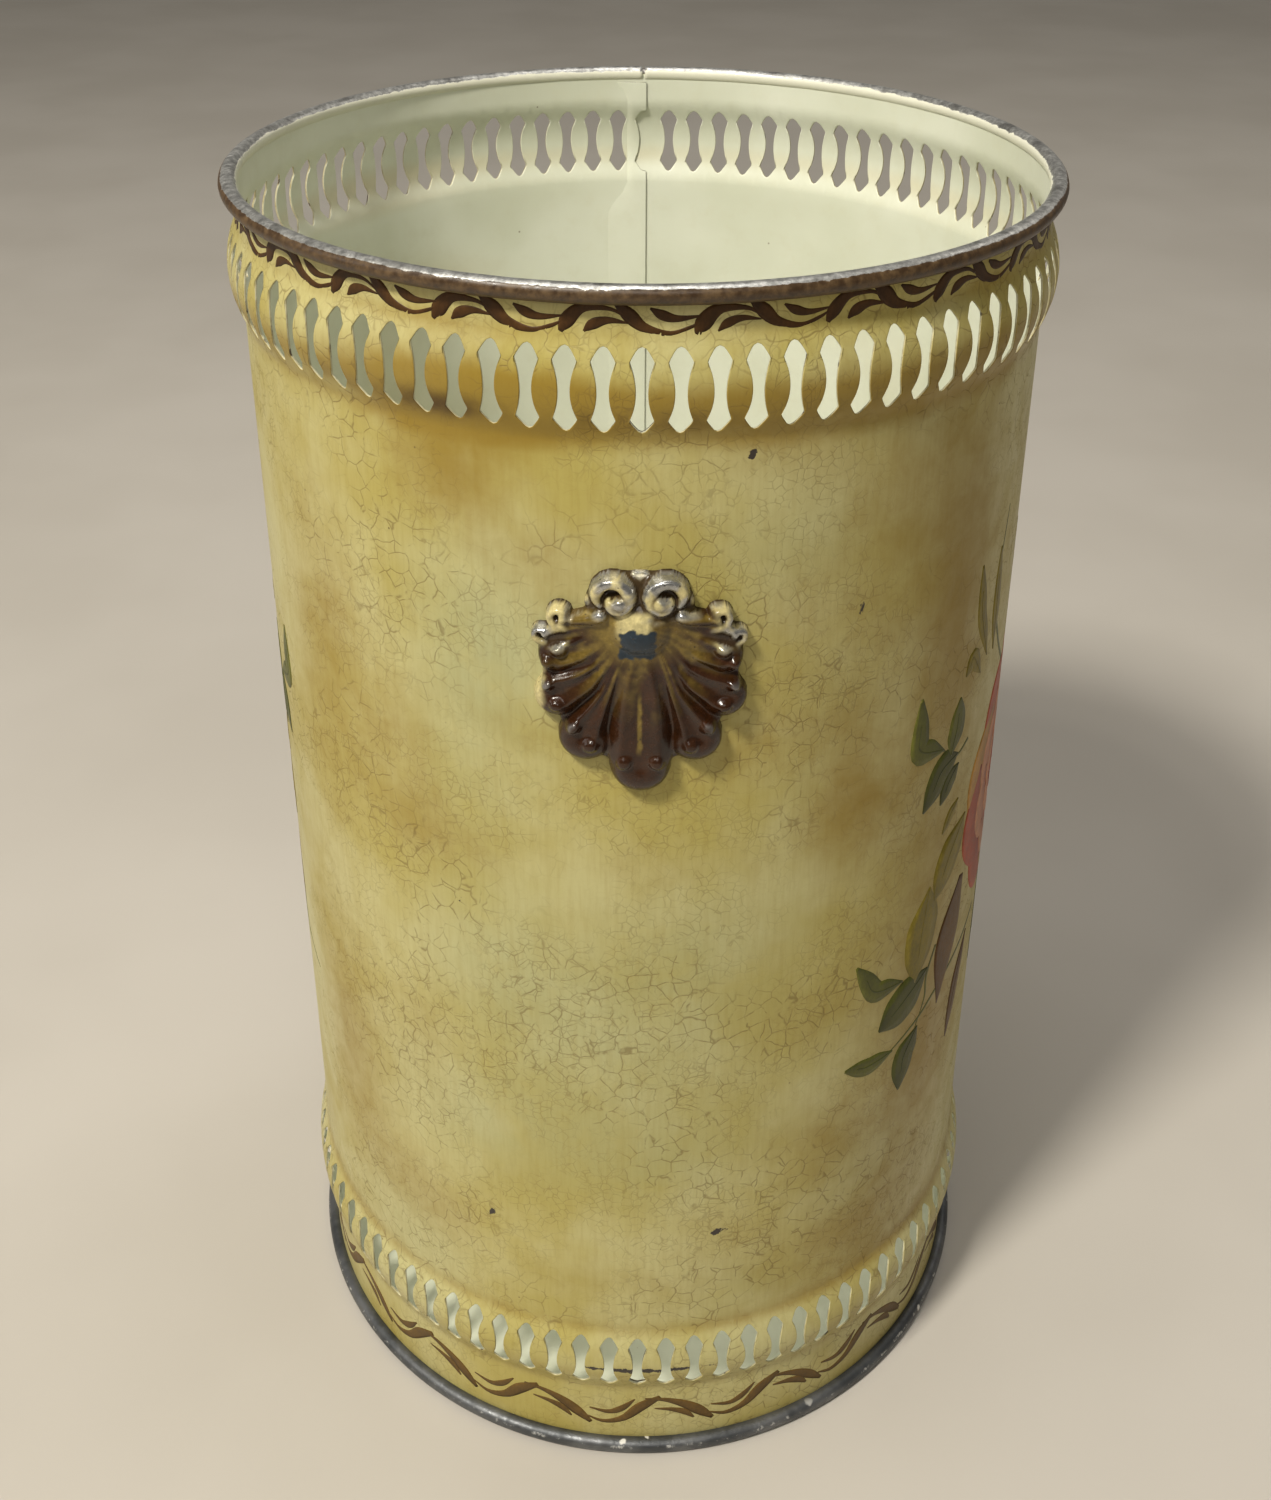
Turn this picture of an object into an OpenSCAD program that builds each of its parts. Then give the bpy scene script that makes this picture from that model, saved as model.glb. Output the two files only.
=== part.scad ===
// Round painted tin wastebasket.
// Two half-round sheets are lapped into a plain cylinder with a raised, pierced band near each end.
// A rolled bead over a wire finishes the rim and the foot, a flat pan closes the base, and a
// scallop-shell ornament covers each seam.
// Millimetres, +Z up, the origin is at the centre of the foot on the floor, the front is -Y.

/* [Body] */
// Outer diameter of the plain cylindrical wall
body_diameter = 200; // [150:1:260]
// Height from the floor to the top of the rolled rim
overall_height = 347; // [260:1:450]
// Thickness of the painted tinplate
sheet = 0.6; // [0.4:0.05:1.2]

/* [Pierced bands] */
// Height of each raised band
band_height = 22; // [18:0.5:30]
// How far a raised band stands out from the wall
band_bulge = 3; // [1.5:0.1:5]
// Distance from the top of the rim down to the middle of the upper band
upper_band_drop = 22.5; // [18:0.5:60]
// Height of the middle of the lower band above the floor
lower_band_rise = 36.5; // [26:0.5:80]
// Number of slot positions around each band
slot_count = 82; // [60:2:90]
// Length of a slot
slot_length = 18.6; // [12:0.2:26]
// Width of a slot across its two lobes
slot_width = 4.9; // [3.5:0.1:5.2]
// Width of a slot at its waist
slot_waist = 2.4; // [1.2:0.1:3.4]
// Width of the blunt end of a slot
slot_tip = 1.0; // [0.6:0.1:2]
// Distance from a slot's end to its widest point
lobe_inset = 2.8; // [1.5:0.1:5]

/* [Seams] */
// Width of the lap where one sheet tucks behind the other
lap_width = 4.5; // [3:0.1:8]
// Gap left between the two sheet edges on the outside
seam_gap = 0.15; // [0.05:0.05:0.4]

/* [Rim and foot] */
// Diameter of the wire inside each rolled bead
wire_diameter = 2.6; // [1.5:0.1:4]
// Gap where the two ends of the rim bead meet at the back
bead_break = 0.8; // [0.3:0.1:2]
// Depth of the flat worn along the underside of the foot bead
foot_wear = 0.15; // [0.05:0.01:0.3]

/* [Base pan] */
// Depth of the turned-down edge of the pan
pan_edge = 5; // [3:0.5:12]
// Outer radius of the bend between the pan's floor and its edge
pan_bend = 1.6; // [1.3:0.1:4]

/* [Shell ornament] */
// Distance from the top of the rim down to the middle of the ornament
shell_drop = 91; // [75:1:200]
// Size of the ornament against the one drawn here, which is 46 wide and 56 high
shell_scale = 1; // [0.6:0.05:1.3]

/* [Hidden] */
$fn = 64;

// Clearance between pieces that are pressed together
fit_gap = 0.05;
// Radius of the wall's outer and inner faces
body_r = body_diameter / 2;
inner_r = body_r - sheet;
// The bead's tube holds the wire, the sheet's edge and a clearance on each side of both
bead_r = (wire_diameter + 3 * sheet + 2 * fit_gap) / 2;
bead_bore_r = bead_r - sheet;
bead_ring_r = inner_r - fit_gap + bead_bore_r;
wire_ring_r = bead_ring_r + bead_bore_r - fit_gap / 2 - wire_diameter / 2;
top_bead_z = overall_height - bead_r;
bottom_bead_z = bead_r - foot_wear;
// Middle of each band, and the arc that its section follows
band_z = [lower_band_rise, overall_height - upper_band_drop];
band_arc_r = (pow(band_height / 2, 2) + pow(band_bulge, 2)) / (2 * band_bulge);
band_arc_ring_r = body_r + band_bulge - band_arc_r;
// The tucked edge at the back ends inside the waist of the slot that its neighbour covers there
back_lap_reach = slot_waist * 0.35;
// Angles, measured from the front towards +X
slot_step = 360 / slot_count;
lap_angle = lap_width / body_r * 180 / PI;
back_seam_angle = 180 + (lap_width - back_lap_reach) / body_r * 180 / PI;
seam_gap_angle = seam_gap / body_r * 180 / PI;
break_angle = bead_break / body_r * 180 / PI;
// The pan's floor, which the tucked edges stop above
pan_top = bottom_bead_z + bead_r + fit_gap + pan_edge;
// How far a tucked edge runs back behind its own sheet: at the front past the slot that the seam
// runs through, and at the back over most of the metal that is left before the next slot
slot_clear = 0.25;
front_root_angle = (slot_width / 2 + slot_clear) / body_r * 180 / PI;
back_bridge_angle = slot_step - (slot_width / 2 + lap_width - back_lap_reach) / body_r * 180 / PI;
back_root_angle = 0.7 * back_bridge_angle;
// Height of the shell's hinge above the ornament's middle
hinge_rise = 10;
// How far above and below the ornament's middle its ground reaches before it is cut to the wall
ground_r = 45;
// How deep the bridge between a tucked edge and its own sheet bites into both
lap_bite = sheet / 4;

// Everything inward of a face that lies `inset` behind the wall's outer face, as a half section
module wall_region(inset, bottom, top) {
    span = [body_r + band_bulge - inner_r / 2, top - bottom];
    intersection() {
        union() {
            translate([inner_r / 2, bottom])
                square([body_r - inset - inner_r / 2, top - bottom]);
            for (z = band_z)
                translate([band_arc_ring_r, z])
                    circle(r = band_arc_r - inset);
        }
        translate([inner_r / 2, bottom])
            square(span);
    }
}

// A curved sheet between two insets, two heights and two angles
module wall_sheet(outer_inset, inner_inset, bottom, top, from, to) {
    rotate([0, 0, from - 90])
        rotate_extrude(angle = to - from)
            difference() {
                wall_region(outer_inset, bottom, top);
                wall_region(inner_inset, bottom - 1, top + 1);
            }
}

// The strip along the first edge of a sheet that tucks behind its neighbour
module tucked_edge(root) {
    bottom = pan_top + fit_gap;
    top = top_bead_z - bead_r - fit_gap;
    behind = sheet + fit_gap;
    wall_sheet(behind, behind + sheet, bottom, top, -lap_angle, root);
    // A bridge joins the strip to the sheet in front of it
    wall_sheet(sheet - lap_bite, behind + lap_bite, bottom + sheet, top - sheet,
               seam_gap_angle, root - seam_gap_angle);
}

// Outline of one slot: two lobes joined by a narrow waist
module slot_outline() {
    half = slot_length / 2;
    lobe = half - lobe_inset;
    // Each side of the waist is an arc that ends just short of the widest points
    rise = lobe - 0.4;
    hollow = (slot_width - slot_waist) / 2;
    side_r = (pow(rise, 2) + pow(hollow, 2)) / (2 * hollow);
    difference() {
        polygon([
            [slot_tip / 2, half], [slot_width / 2, lobe],
            [slot_width / 2, -lobe], [slot_tip / 2, -half],
            [-slot_tip / 2, -half], [-slot_width / 2, -lobe],
            [-slot_width / 2, lobe], [-slot_tip / 2, half],
        ]);
        for (side = [-1, 1])
            translate([side * (slot_waist / 2 + side_r), 0])
                circle(r = side_r);
    }
}

// The slots from one position to another, in both bands
module slots(first, last) {
    reach = band_bulge + 3 * sheet + 2;
    for (z = band_z, place = [first : last])
        rotate([0, 0, place * slot_step])
            translate([0, -(body_r - 3 * sheet - 1), z])
                rotate([90, 0, 0])
                    linear_extrude(height = reach + 1)
                        slot_outline();
}

// One sheet: a curved wall whose first edge is tucked, pierced by the slots in its span
module wall_panel(start, span, root, first, last) {
    rotate([0, 0, start])
        difference() {
            union() {
                wall_sheet(0, sheet, bottom_bead_z, top_bead_z,
                           seam_gap_angle / 2, span - seam_gap_angle / 2);
                tucked_edge(root);
            }
            rotate([0, 0, -start])
                slots(first, last);
        }
}

module wall_panel_right() {
    color("#c9bc84")
        wall_panel(0, back_seam_angle, front_root_angle, -1, slot_count / 2 - 1);
}

module wall_panel_left() {
    color("#c4b67c")
        wall_panel(back_seam_angle, 360 - back_seam_angle, back_root_angle,
                   slot_count / 2, slot_count);
}

// Half section of a rolled bead with the slit that takes the sheet's edge; side is +1 when the
// sheet comes in from above and -1 when it comes in from below
module bead_section(side) {
    difference() {
        circle(r = bead_r);
        circle(r = bead_bore_r);
        translate([-bead_bore_r, side > 0 ? 0 : -bead_r - 1])
            square([sheet + 2 * fit_gap, bead_r + 1]);
    }
}

module top_rim_bead() {
    color("#8d8a80")
        rotate([0, 0, 90 + break_angle / 2])
            rotate_extrude(angle = 360 - break_angle)
                translate([bead_ring_r, top_bead_z])
                    bead_section(-1);
}

module bottom_rim_bead() {
    color("#7d7d78")
        rotate_extrude()
            difference() {
                translate([bead_ring_r, bottom_bead_z])
                    bead_section(1);
                translate([bead_ring_r - bead_r, -bead_r])
                    square([2 * bead_r, bead_r]);
            }
}

module rim_wire(z) {
    rotate_extrude()
        translate([wire_ring_r, z])
            circle(d = wire_diameter);
}

module top_rim_wire() {
    color("#9a9a9a") rim_wire(top_bead_z);
}

module bottom_rim_wire() {
    color("#9a9a9a") rim_wire(bottom_bead_z);
}

module base_pan() {
    edge_r = inner_r - fit_gap;
    bend_ring_r = edge_r - pan_bend;
    bend_z = pan_top - pan_bend;
    color("#cfc9a6")
        rotate_extrude()
            union() {
                translate([0, pan_top - sheet])
                    square([bend_ring_r, sheet]);
                translate([edge_r - sheet, pan_top - pan_edge])
                    square([sheet, pan_edge - pan_bend]);
                intersection() {
                    translate([bend_ring_r, bend_z])
                        difference() {
                            circle(r = pan_bend);
                            circle(r = pan_bend - sheet);
                        }
                    translate([bend_ring_r, bend_z])
                        square([pan_bend, pan_bend]);
                }
            }
}

// Depth of the wall's face, at a distance to the side of the ornament's middle
function wall_depth(side) = sqrt(pow(body_r / shell_scale, 2) - side * side) - body_r / shell_scale;

// A place on the shell, at a distance from its hinge and an angle from straight down
function fan(tilt, distance) = [distance * sin(tilt), hinge_rise - distance * cos(tilt)];

// A ball whose top stands `swell` above the wall at a place
module ball(place, radius, swell) {
    translate([place[0], place[1], wall_depth(place[0]) + swell - radius])
        sphere(r = radius);
}

// One lobe of the shell: it widens and swells away from the hinge, and carries two ribs that
// each end in a round boss
module shell_lobe(tilt, reach, end_r, swell) {
    hull() {
        ball(fan(tilt, 1), 2.2, 4.2, $fn = 8);
        ball(fan(tilt, reach - end_r), end_r, swell, $fn = 14);
    }
    for (side = [-1, 1]) {
        turn = tilt + side * end_r * 34 / reach;
        hull() {
            ball(fan(turn, 3), 0.9, 4.4, $fn = 6);
            ball(fan(turn, reach - end_r * 0.9), 1.3, swell + 0.5, $fn = 6);
        }
        ball(fan(turn, reach - end_r * 0.62), 1.5, swell + 0.6, $fn = 8);
    }
}

// A scroll on a low mound: an open ring of round section with a ball at its eye and at each end
module scroll(place, ring_r, tube_r, depth, from, turn, eye_r) {
    ball(place, (ring_r + tube_r) * 1.1, depth * 0.8, $fn = 12);
    translate([place[0], place[1], wall_depth(place[0]) + depth]) {
        rotate([0, 0, from])
            rotate_extrude(angle = turn, $fn = 16)
                translate([ring_r, 0])
                    circle(r = tube_r, $fn = 8);
        sphere(r = eye_r, $fn = 8);
        for (end = [from, from + turn])
            translate([ring_r * cos(end), ring_r * sin(end), 0])
                sphere(r = tube_r * 1.1, $fn = 8);
    }
}

// The ornament's front, on a wall whose face is at depth 0 in its middle
module shell_relief() {
    shell_lobe(0, 38, 6.8, 5.4);
    for (side = [-1, 1]) {
        shell_lobe(side * 26, 33.5, 6.1, 5.1);
        shell_lobe(side * 52, 28.5, 5.3, 4.6);
        shell_lobe(side * 78, 23, 4.4, 4.1);
    }
    // Raised ground under the scrolls, and a broad low one behind everything
    ball([0, 14], 9, 4.4, $fn = 16);
    ball([0, 12], ground_r, 1.8, $fn = 48);
    for (side = [0, 1])
        mirror([side, 0, 0]) {
            scroll([5.2, 21.2], 4.4, 1.7, 2.4, -60, 300, 2.2);
            scroll([12.6, 16.8], 2.8, 1.3, 1.5, -150, 260, 1.7);
            scroll([17.6, 12.6], 2.2, 1.2, 1.3, -120, 250, 1.5);
        }
}

// A whole ornament, with its back shaped to the wall that it sits on
module shell_ornament(angle) {
    middle_z = overall_height - shell_drop;
    cut_reach = 2 * ground_r * shell_scale;
    rotate([0, 0, angle])
        difference() {
            translate([0, -body_r, middle_z])
                rotate([90, 0, 0])
                    scale(shell_scale)
                        shell_relief();
            translate([0, 0, middle_z - cut_reach])
                cylinder(h = 2 * cut_reach, r = body_r, $fn = 180);
        }
}

module shell_ornament_front() {
    color("#6a4a24") shell_ornament(0);
}

module shell_ornament_back() {
    color("#6a4a24") shell_ornament(180);
}

wall_panel_left();
wall_panel_right();
top_rim_bead();
top_rim_wire();
bottom_rim_bead();
bottom_rim_wire();
base_pan();
shell_ornament_front();
shell_ornament_back();
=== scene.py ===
"""The looks of a round painted tin wastebasket, built around its CAD frame.

Lengths in the code are millimetres until a mesh is made. A place on the wall is given unrolled:
`s` runs round the wall from the front towards +X, measured on the plain wall's outer face, and
`z` is the height above the floor.
"""
import math
import random

import bpy
import numpy as np
from mathutils import Matrix, Vector, noise


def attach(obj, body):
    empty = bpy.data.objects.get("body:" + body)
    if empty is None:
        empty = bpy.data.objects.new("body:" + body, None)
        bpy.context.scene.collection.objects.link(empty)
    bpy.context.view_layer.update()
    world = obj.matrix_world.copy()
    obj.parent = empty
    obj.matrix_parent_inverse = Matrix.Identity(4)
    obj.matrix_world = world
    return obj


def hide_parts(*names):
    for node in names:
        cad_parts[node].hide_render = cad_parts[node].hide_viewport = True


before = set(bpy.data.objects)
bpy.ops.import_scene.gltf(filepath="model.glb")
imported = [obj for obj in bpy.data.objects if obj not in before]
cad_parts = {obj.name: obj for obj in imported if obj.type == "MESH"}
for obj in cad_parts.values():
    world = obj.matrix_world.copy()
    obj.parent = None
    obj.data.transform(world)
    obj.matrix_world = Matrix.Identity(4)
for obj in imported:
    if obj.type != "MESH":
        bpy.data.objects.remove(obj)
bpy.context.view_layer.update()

# ---------------------------------------------------------------- sizes, as in the CAD source
MM = 0.001
BODY_R = 100.0
SHEET = 0.6
BAND_Z = (36.5, 324.5)
BAND_HALF = 11.0
BAND_BULGE = 3.0
SLOTS = 82
SLOT_HALF = 9.3
SLOT_WIDE = 2.45
SLOT_WAIST = 1.2
SLOT_TIP = 0.5
LOBE_AT = 6.5
BEAD_R = 2.25
BEAD_RING_R = 101.0
TOP_BEAD_Z = 344.75
FOOT_BEAD_Z = 2.1
BEAD_BREAK = 0.8
LAP = 4.5
LAP_BACK_REACH = 0.84
TUCK_INSET = 0.65
TUCK_LOW = 9.5
TUCK_HIGH = 342.4
SHELL_Z = 256.0

TURN = 2 * math.pi * BODY_R
PITCH = TURN / SLOTS
ARC_R = (BAND_HALF ** 2 + BAND_BULGE ** 2) / (2 * BAND_BULGE)
ARC_RING_R = BODY_R + BAND_BULGE - ARC_R
# Height of the strip of mesh that holds a band and its slots, on each side of the middle
ZONE_HALF = 12.5
# Mesh divisions across a slot's cell and up its side
CELL_ACROSS = 4
CELL_UP = 22

rng = random.Random(7)


def smoothstep(low, high, value):
    """0 below low, 1 above high, smooth between; low may be above high."""
    t = np.clip((np.asarray(value, float) - low) / (high - low), 0, 1)
    return t * t * (3 - 2 * t)


def wobble(s):
    """How far the wall lies inside a true circle: an old basket is a little out of round."""
    turn = np.asarray(s, float) / BODY_R
    return -0.14 * (1 - np.cos(2 * turn - 0.7)) - 0.05 * (1 - np.cos(5 * turn + 1.1))


def wall_radius(z, inset=0.0):
    """Radius of a face of the wall at a height, for a face that lies inset behind the outside."""
    z = np.asarray(z, float)
    radius = np.full(z.shape, BODY_R - inset)
    soft = 1.2
    for middle in BAND_Z:
        rise = np.maximum((ARC_R - inset) ** 2 - (z - middle) ** 2, 0)
        arc = ARC_RING_R + np.sqrt(rise)
        share = np.clip(0.5 + 0.5 * (arc - radius) / soft, 0, 1)
        radius = radius * (1 - share) + arc * share + soft * share * (1 - share)
    return radius


def on_wall(s, z, out=0.0, inset=0.0):
    """Points in metres for unrolled places, out from the face that lies inset behind the outside."""
    s, z = np.broadcast_arrays(np.asarray(s, float), np.asarray(z, float))
    radius = (wall_radius(z, inset) + wobble(s) + out) * MM
    turn = s / BODY_R
    return np.stack([radius * np.sin(turn), -radius * np.cos(turn), z * MM], axis=-1)


def noise_at(points, size, seed=0.0):
    """Smooth noise from -1 to 1 at points in millimetres, with features of the given size."""
    offset = Vector((seed, seed * 1.7, seed * 0.3))
    return np.array([noise.noise(Vector(p) / size + offset) for p in points])


# ---------------------------------------------------------------- meshes
def make_object(name, points, faces, materials, slots_of_faces=None):
    """A smooth-shaded object. slots_of_faces gives the number of each face's material."""
    mesh = bpy.data.meshes.new(name)
    mesh.from_pydata(np.asarray(points).tolist(), [], [list(map(int, f)) for f in faces])
    for material in materials:
        mesh.materials.append(material)
    if slots_of_faces is not None:
        mesh.polygons.foreach_set("material_index", np.asarray(slots_of_faces, np.int32))
    mesh.polygons.foreach_set("use_smooth", [True] * len(mesh.polygons))
    mesh.update()
    piece = bpy.data.objects.new(name, mesh)
    bpy.context.scene.collection.objects.link(piece)
    return piece


def add_colors(piece, name, values):
    """A colour for each vertex, which the materials read by its name."""
    layer = piece.data.color_attributes.new(name, "FLOAT_COLOR", "POINT")
    layer.data.foreach_set("color", np.asarray(values, np.float32).ravel())


def finish_piece(piece, slot, *replaced):
    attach(piece, "root")
    if replaced:
        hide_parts(*replaced)
    return piece


class Net:
    """A flat mesh in unrolled places, welded where its parts meet."""

    def __init__(self):
        self.index = {}
        self.points = []
        self.quads = []

    def point(self, s, z):
        key = (round(s * 200), round(z * 200))
        if key not in self.index:
            self.index[key] = len(self.points)
            self.points.append((s, z))
        return self.index[key]

    def patch(self, rows):
        """Quads over a grid of places, whose rows run left to right and are stacked upwards."""
        ids = [[self.point(s, z) for s, z in row] for row in rows]
        for lower, upper in zip(ids, ids[1:]):
            for a, b, c, d in zip(lower, lower[1:], upper[1:], upper):
                if len({a, b, c, d}) == 4:
                    self.quads.append((a, b, c, d))


def slot_side():
    """The right half of a slot's outline, from its foot to its tip, at even steps."""
    rise = LOBE_AT - 0.4
    hollow = SLOT_WIDE - SLOT_WAIST
    radius = (rise ** 2 + hollow ** 2) / (2 * hollow)
    path = [(0, -SLOT_HALF), (SLOT_TIP, -SLOT_HALF), (SLOT_WIDE, -LOBE_AT)]
    for step in range(-8, 9):
        z = rise * step / 8
        path.append((SLOT_WAIST + radius - math.sqrt(radius ** 2 - z ** 2), z))
    # The tip is blunter than the foot
    path += [(SLOT_WIDE, LOBE_AT), (SLOT_TIP * 1.9, SLOT_HALF - 0.35), (0, SLOT_HALF)]
    path = np.array(path, float)
    for _ in range(2):
        cut = [path[0]]
        for a, b in zip(path, path[1:]):
            cut += [a * 0.8 + b * 0.2, a * 0.2 + b * 0.8]
        path = np.array(cut + [path[-1]])
    run = np.concatenate([[0], np.cumsum(np.hypot(*np.diff(path, axis=0).T))])
    at = np.linspace(0, run[-1], CELL_ACROSS + CELL_UP + 1)
    return np.stack([np.interp(at, run, path[:, 0]), np.interp(at, run, path[:, 1])], axis=1)


def cell_side():
    """The right half of a cell's outline, with a point for each of slot_side's."""
    half = CELL_ACROSS // 2
    across = np.linspace(0, PITCH / 2, half + 1)
    up = np.linspace(-ZONE_HALF, ZONE_HALF, CELL_UP + 1)
    path = [(s, -ZONE_HALF) for s in across[:-1]]
    path += [(PITCH / 2, z) for z in up]
    path += [(s, ZONE_HALF) for s in across[::-1][1:]]
    return np.array(path)


SLOT_SIDE = slot_side()
CELL_SIDE = cell_side()
RING_STEPS = (0, 0.09, 0.3, 0.62, 1)


def half_cell(net, middle_s, middle_z, side, shift=None):
    """The metal on one side of a slot. shift moves a place, to trim the cell's edge."""
    rows = []
    for step in RING_STEPS:
        ring = SLOT_SIDE * (1 - step) + CELL_SIDE * step
        row = [(middle_s + side * s, middle_z + z) for s, z in ring]
        rows.append([shift(p) for p in row] if shift else row)
    # Rows run from the slot outwards; on the right side that is clockwise, so it is turned round
    if side > 0:
        rows = [row[::-1] for row in rows]
    net.patch(list(zip(*rows)))


def zone_rows(middle_z):
    return np.linspace(middle_z - ZONE_HALF, middle_z + ZONE_HALF, CELL_UP + 1)


def plain_rows(low, high, step):
    return np.linspace(low, high, max(2, int(math.ceil((high - low) / step)) + 1))


def plain(net, columns, heights):
    net.patch([[(s, z) for s in columns] for z in heights])


def cell_columns(first, last):
    """Column lines from one half-cell line to another, counted in half cells from the front."""
    count = (last - first) * CELL_ACROSS // 2
    return [PITCH / 2 * first + i * PITCH / CELL_ACROSS for i in range(count + 1)]


def open_edges(quads):
    """The edges that belong to one quad only, each in that quad's direction."""
    edges = {(quad[i], quad[(i + 1) % 4]): True for quad in quads for i in range(4)}
    return [edge for edge in edges if edge[::-1] not in edges]


# Rounding of a sheet's edges, at a slot and at a seam
SLOT_ROUND = 0.1
SEAM_ROUND = 0.025


def sheet_object(name, net, inset_of, thick, materials):
    """A sheet with rounded edges from a flat net. inset_of gives how far its outer face lies
    behind the wall's at a place round it. Materials: outside, inside, edge."""
    places = np.array(net.points)
    at_seam = (np.abs(places[:, 0] - places[:, 0].min()) < 0.01)
    at_seam |= (np.abs(places[:, 0] - places[:, 0].max()) < 0.01)
    edge_round = np.where(at_seam, SEAM_ROUND, SLOT_ROUND)
    inset = inset_of(places[:, 0])
    quads = np.array(net.quads)
    # Face every quad the same way
    a, b, c = places[quads[:, 0]], places[quads[:, 1]], places[quads[:, 2]]
    turn = (b[:, 0] - a[:, 0]) * (c[:, 1] - a[:, 1]) - (b[:, 1] - a[:, 1]) * (c[:, 0] - a[:, 0])
    quads[turn < 0] = quads[turn < 0][:, ::-1]
    rim = open_edges(quads)
    inward = np.zeros_like(places)
    for a, b in rim:
        step = places[b] - places[a]
        normal = np.array([-step[1], step[0]])
        inward[a] += normal
        inward[b] += normal
    length = np.hypot(inward[:, 0], inward[:, 1])
    is_rim = length > 1e-9
    inward[is_rim] /= length[is_rim][:, None]
    rim_ids = np.flatnonzero(is_rim)
    ring_of = {v: i for i, v in enumerate(rim_ids)}
    drawn_in = places + inward * edge_round[:, None]
    outer = on_wall(drawn_in[:, 0], drawn_in[:, 1], inset=inset)
    inner = on_wall(drawn_in[:, 0], drawn_in[:, 1], inset=inset + thick)
    at, rounding, behind = places[rim_ids], edge_round[rim_ids], inset[rim_ids]
    upper = on_wall(at[:, 0], at[:, 1], inset=behind + rounding)
    lower = on_wall(at[:, 0], at[:, 1], inset=behind + thick - rounding)
    count, ring = len(places), len(rim_ids)
    points = np.concatenate([outer, inner, upper, lower])
    faces = [tuple(q) for q in quads] + [tuple(q[::-1] + count) for q in quads]
    kinds = [0] * len(quads) + [1] * len(quads)
    for a, b in rim:
        ua, ub = 2 * count + ring_of[a], 2 * count + ring_of[b]
        la, lb = ua + ring, ub + ring
        faces += [(a, ua, ub, b), (ua, la, lb, ub), (la, a + count, b + count, lb)]
        kinds += [0, 2, 1]
    piece = make_object(name, points, faces, materials, kinds)
    shading = piece.modifiers.new("even_shading", "WEIGHTED_NORMAL")
    shading.weight = 50
    return piece, np.concatenate([places, places, at, at])


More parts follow.
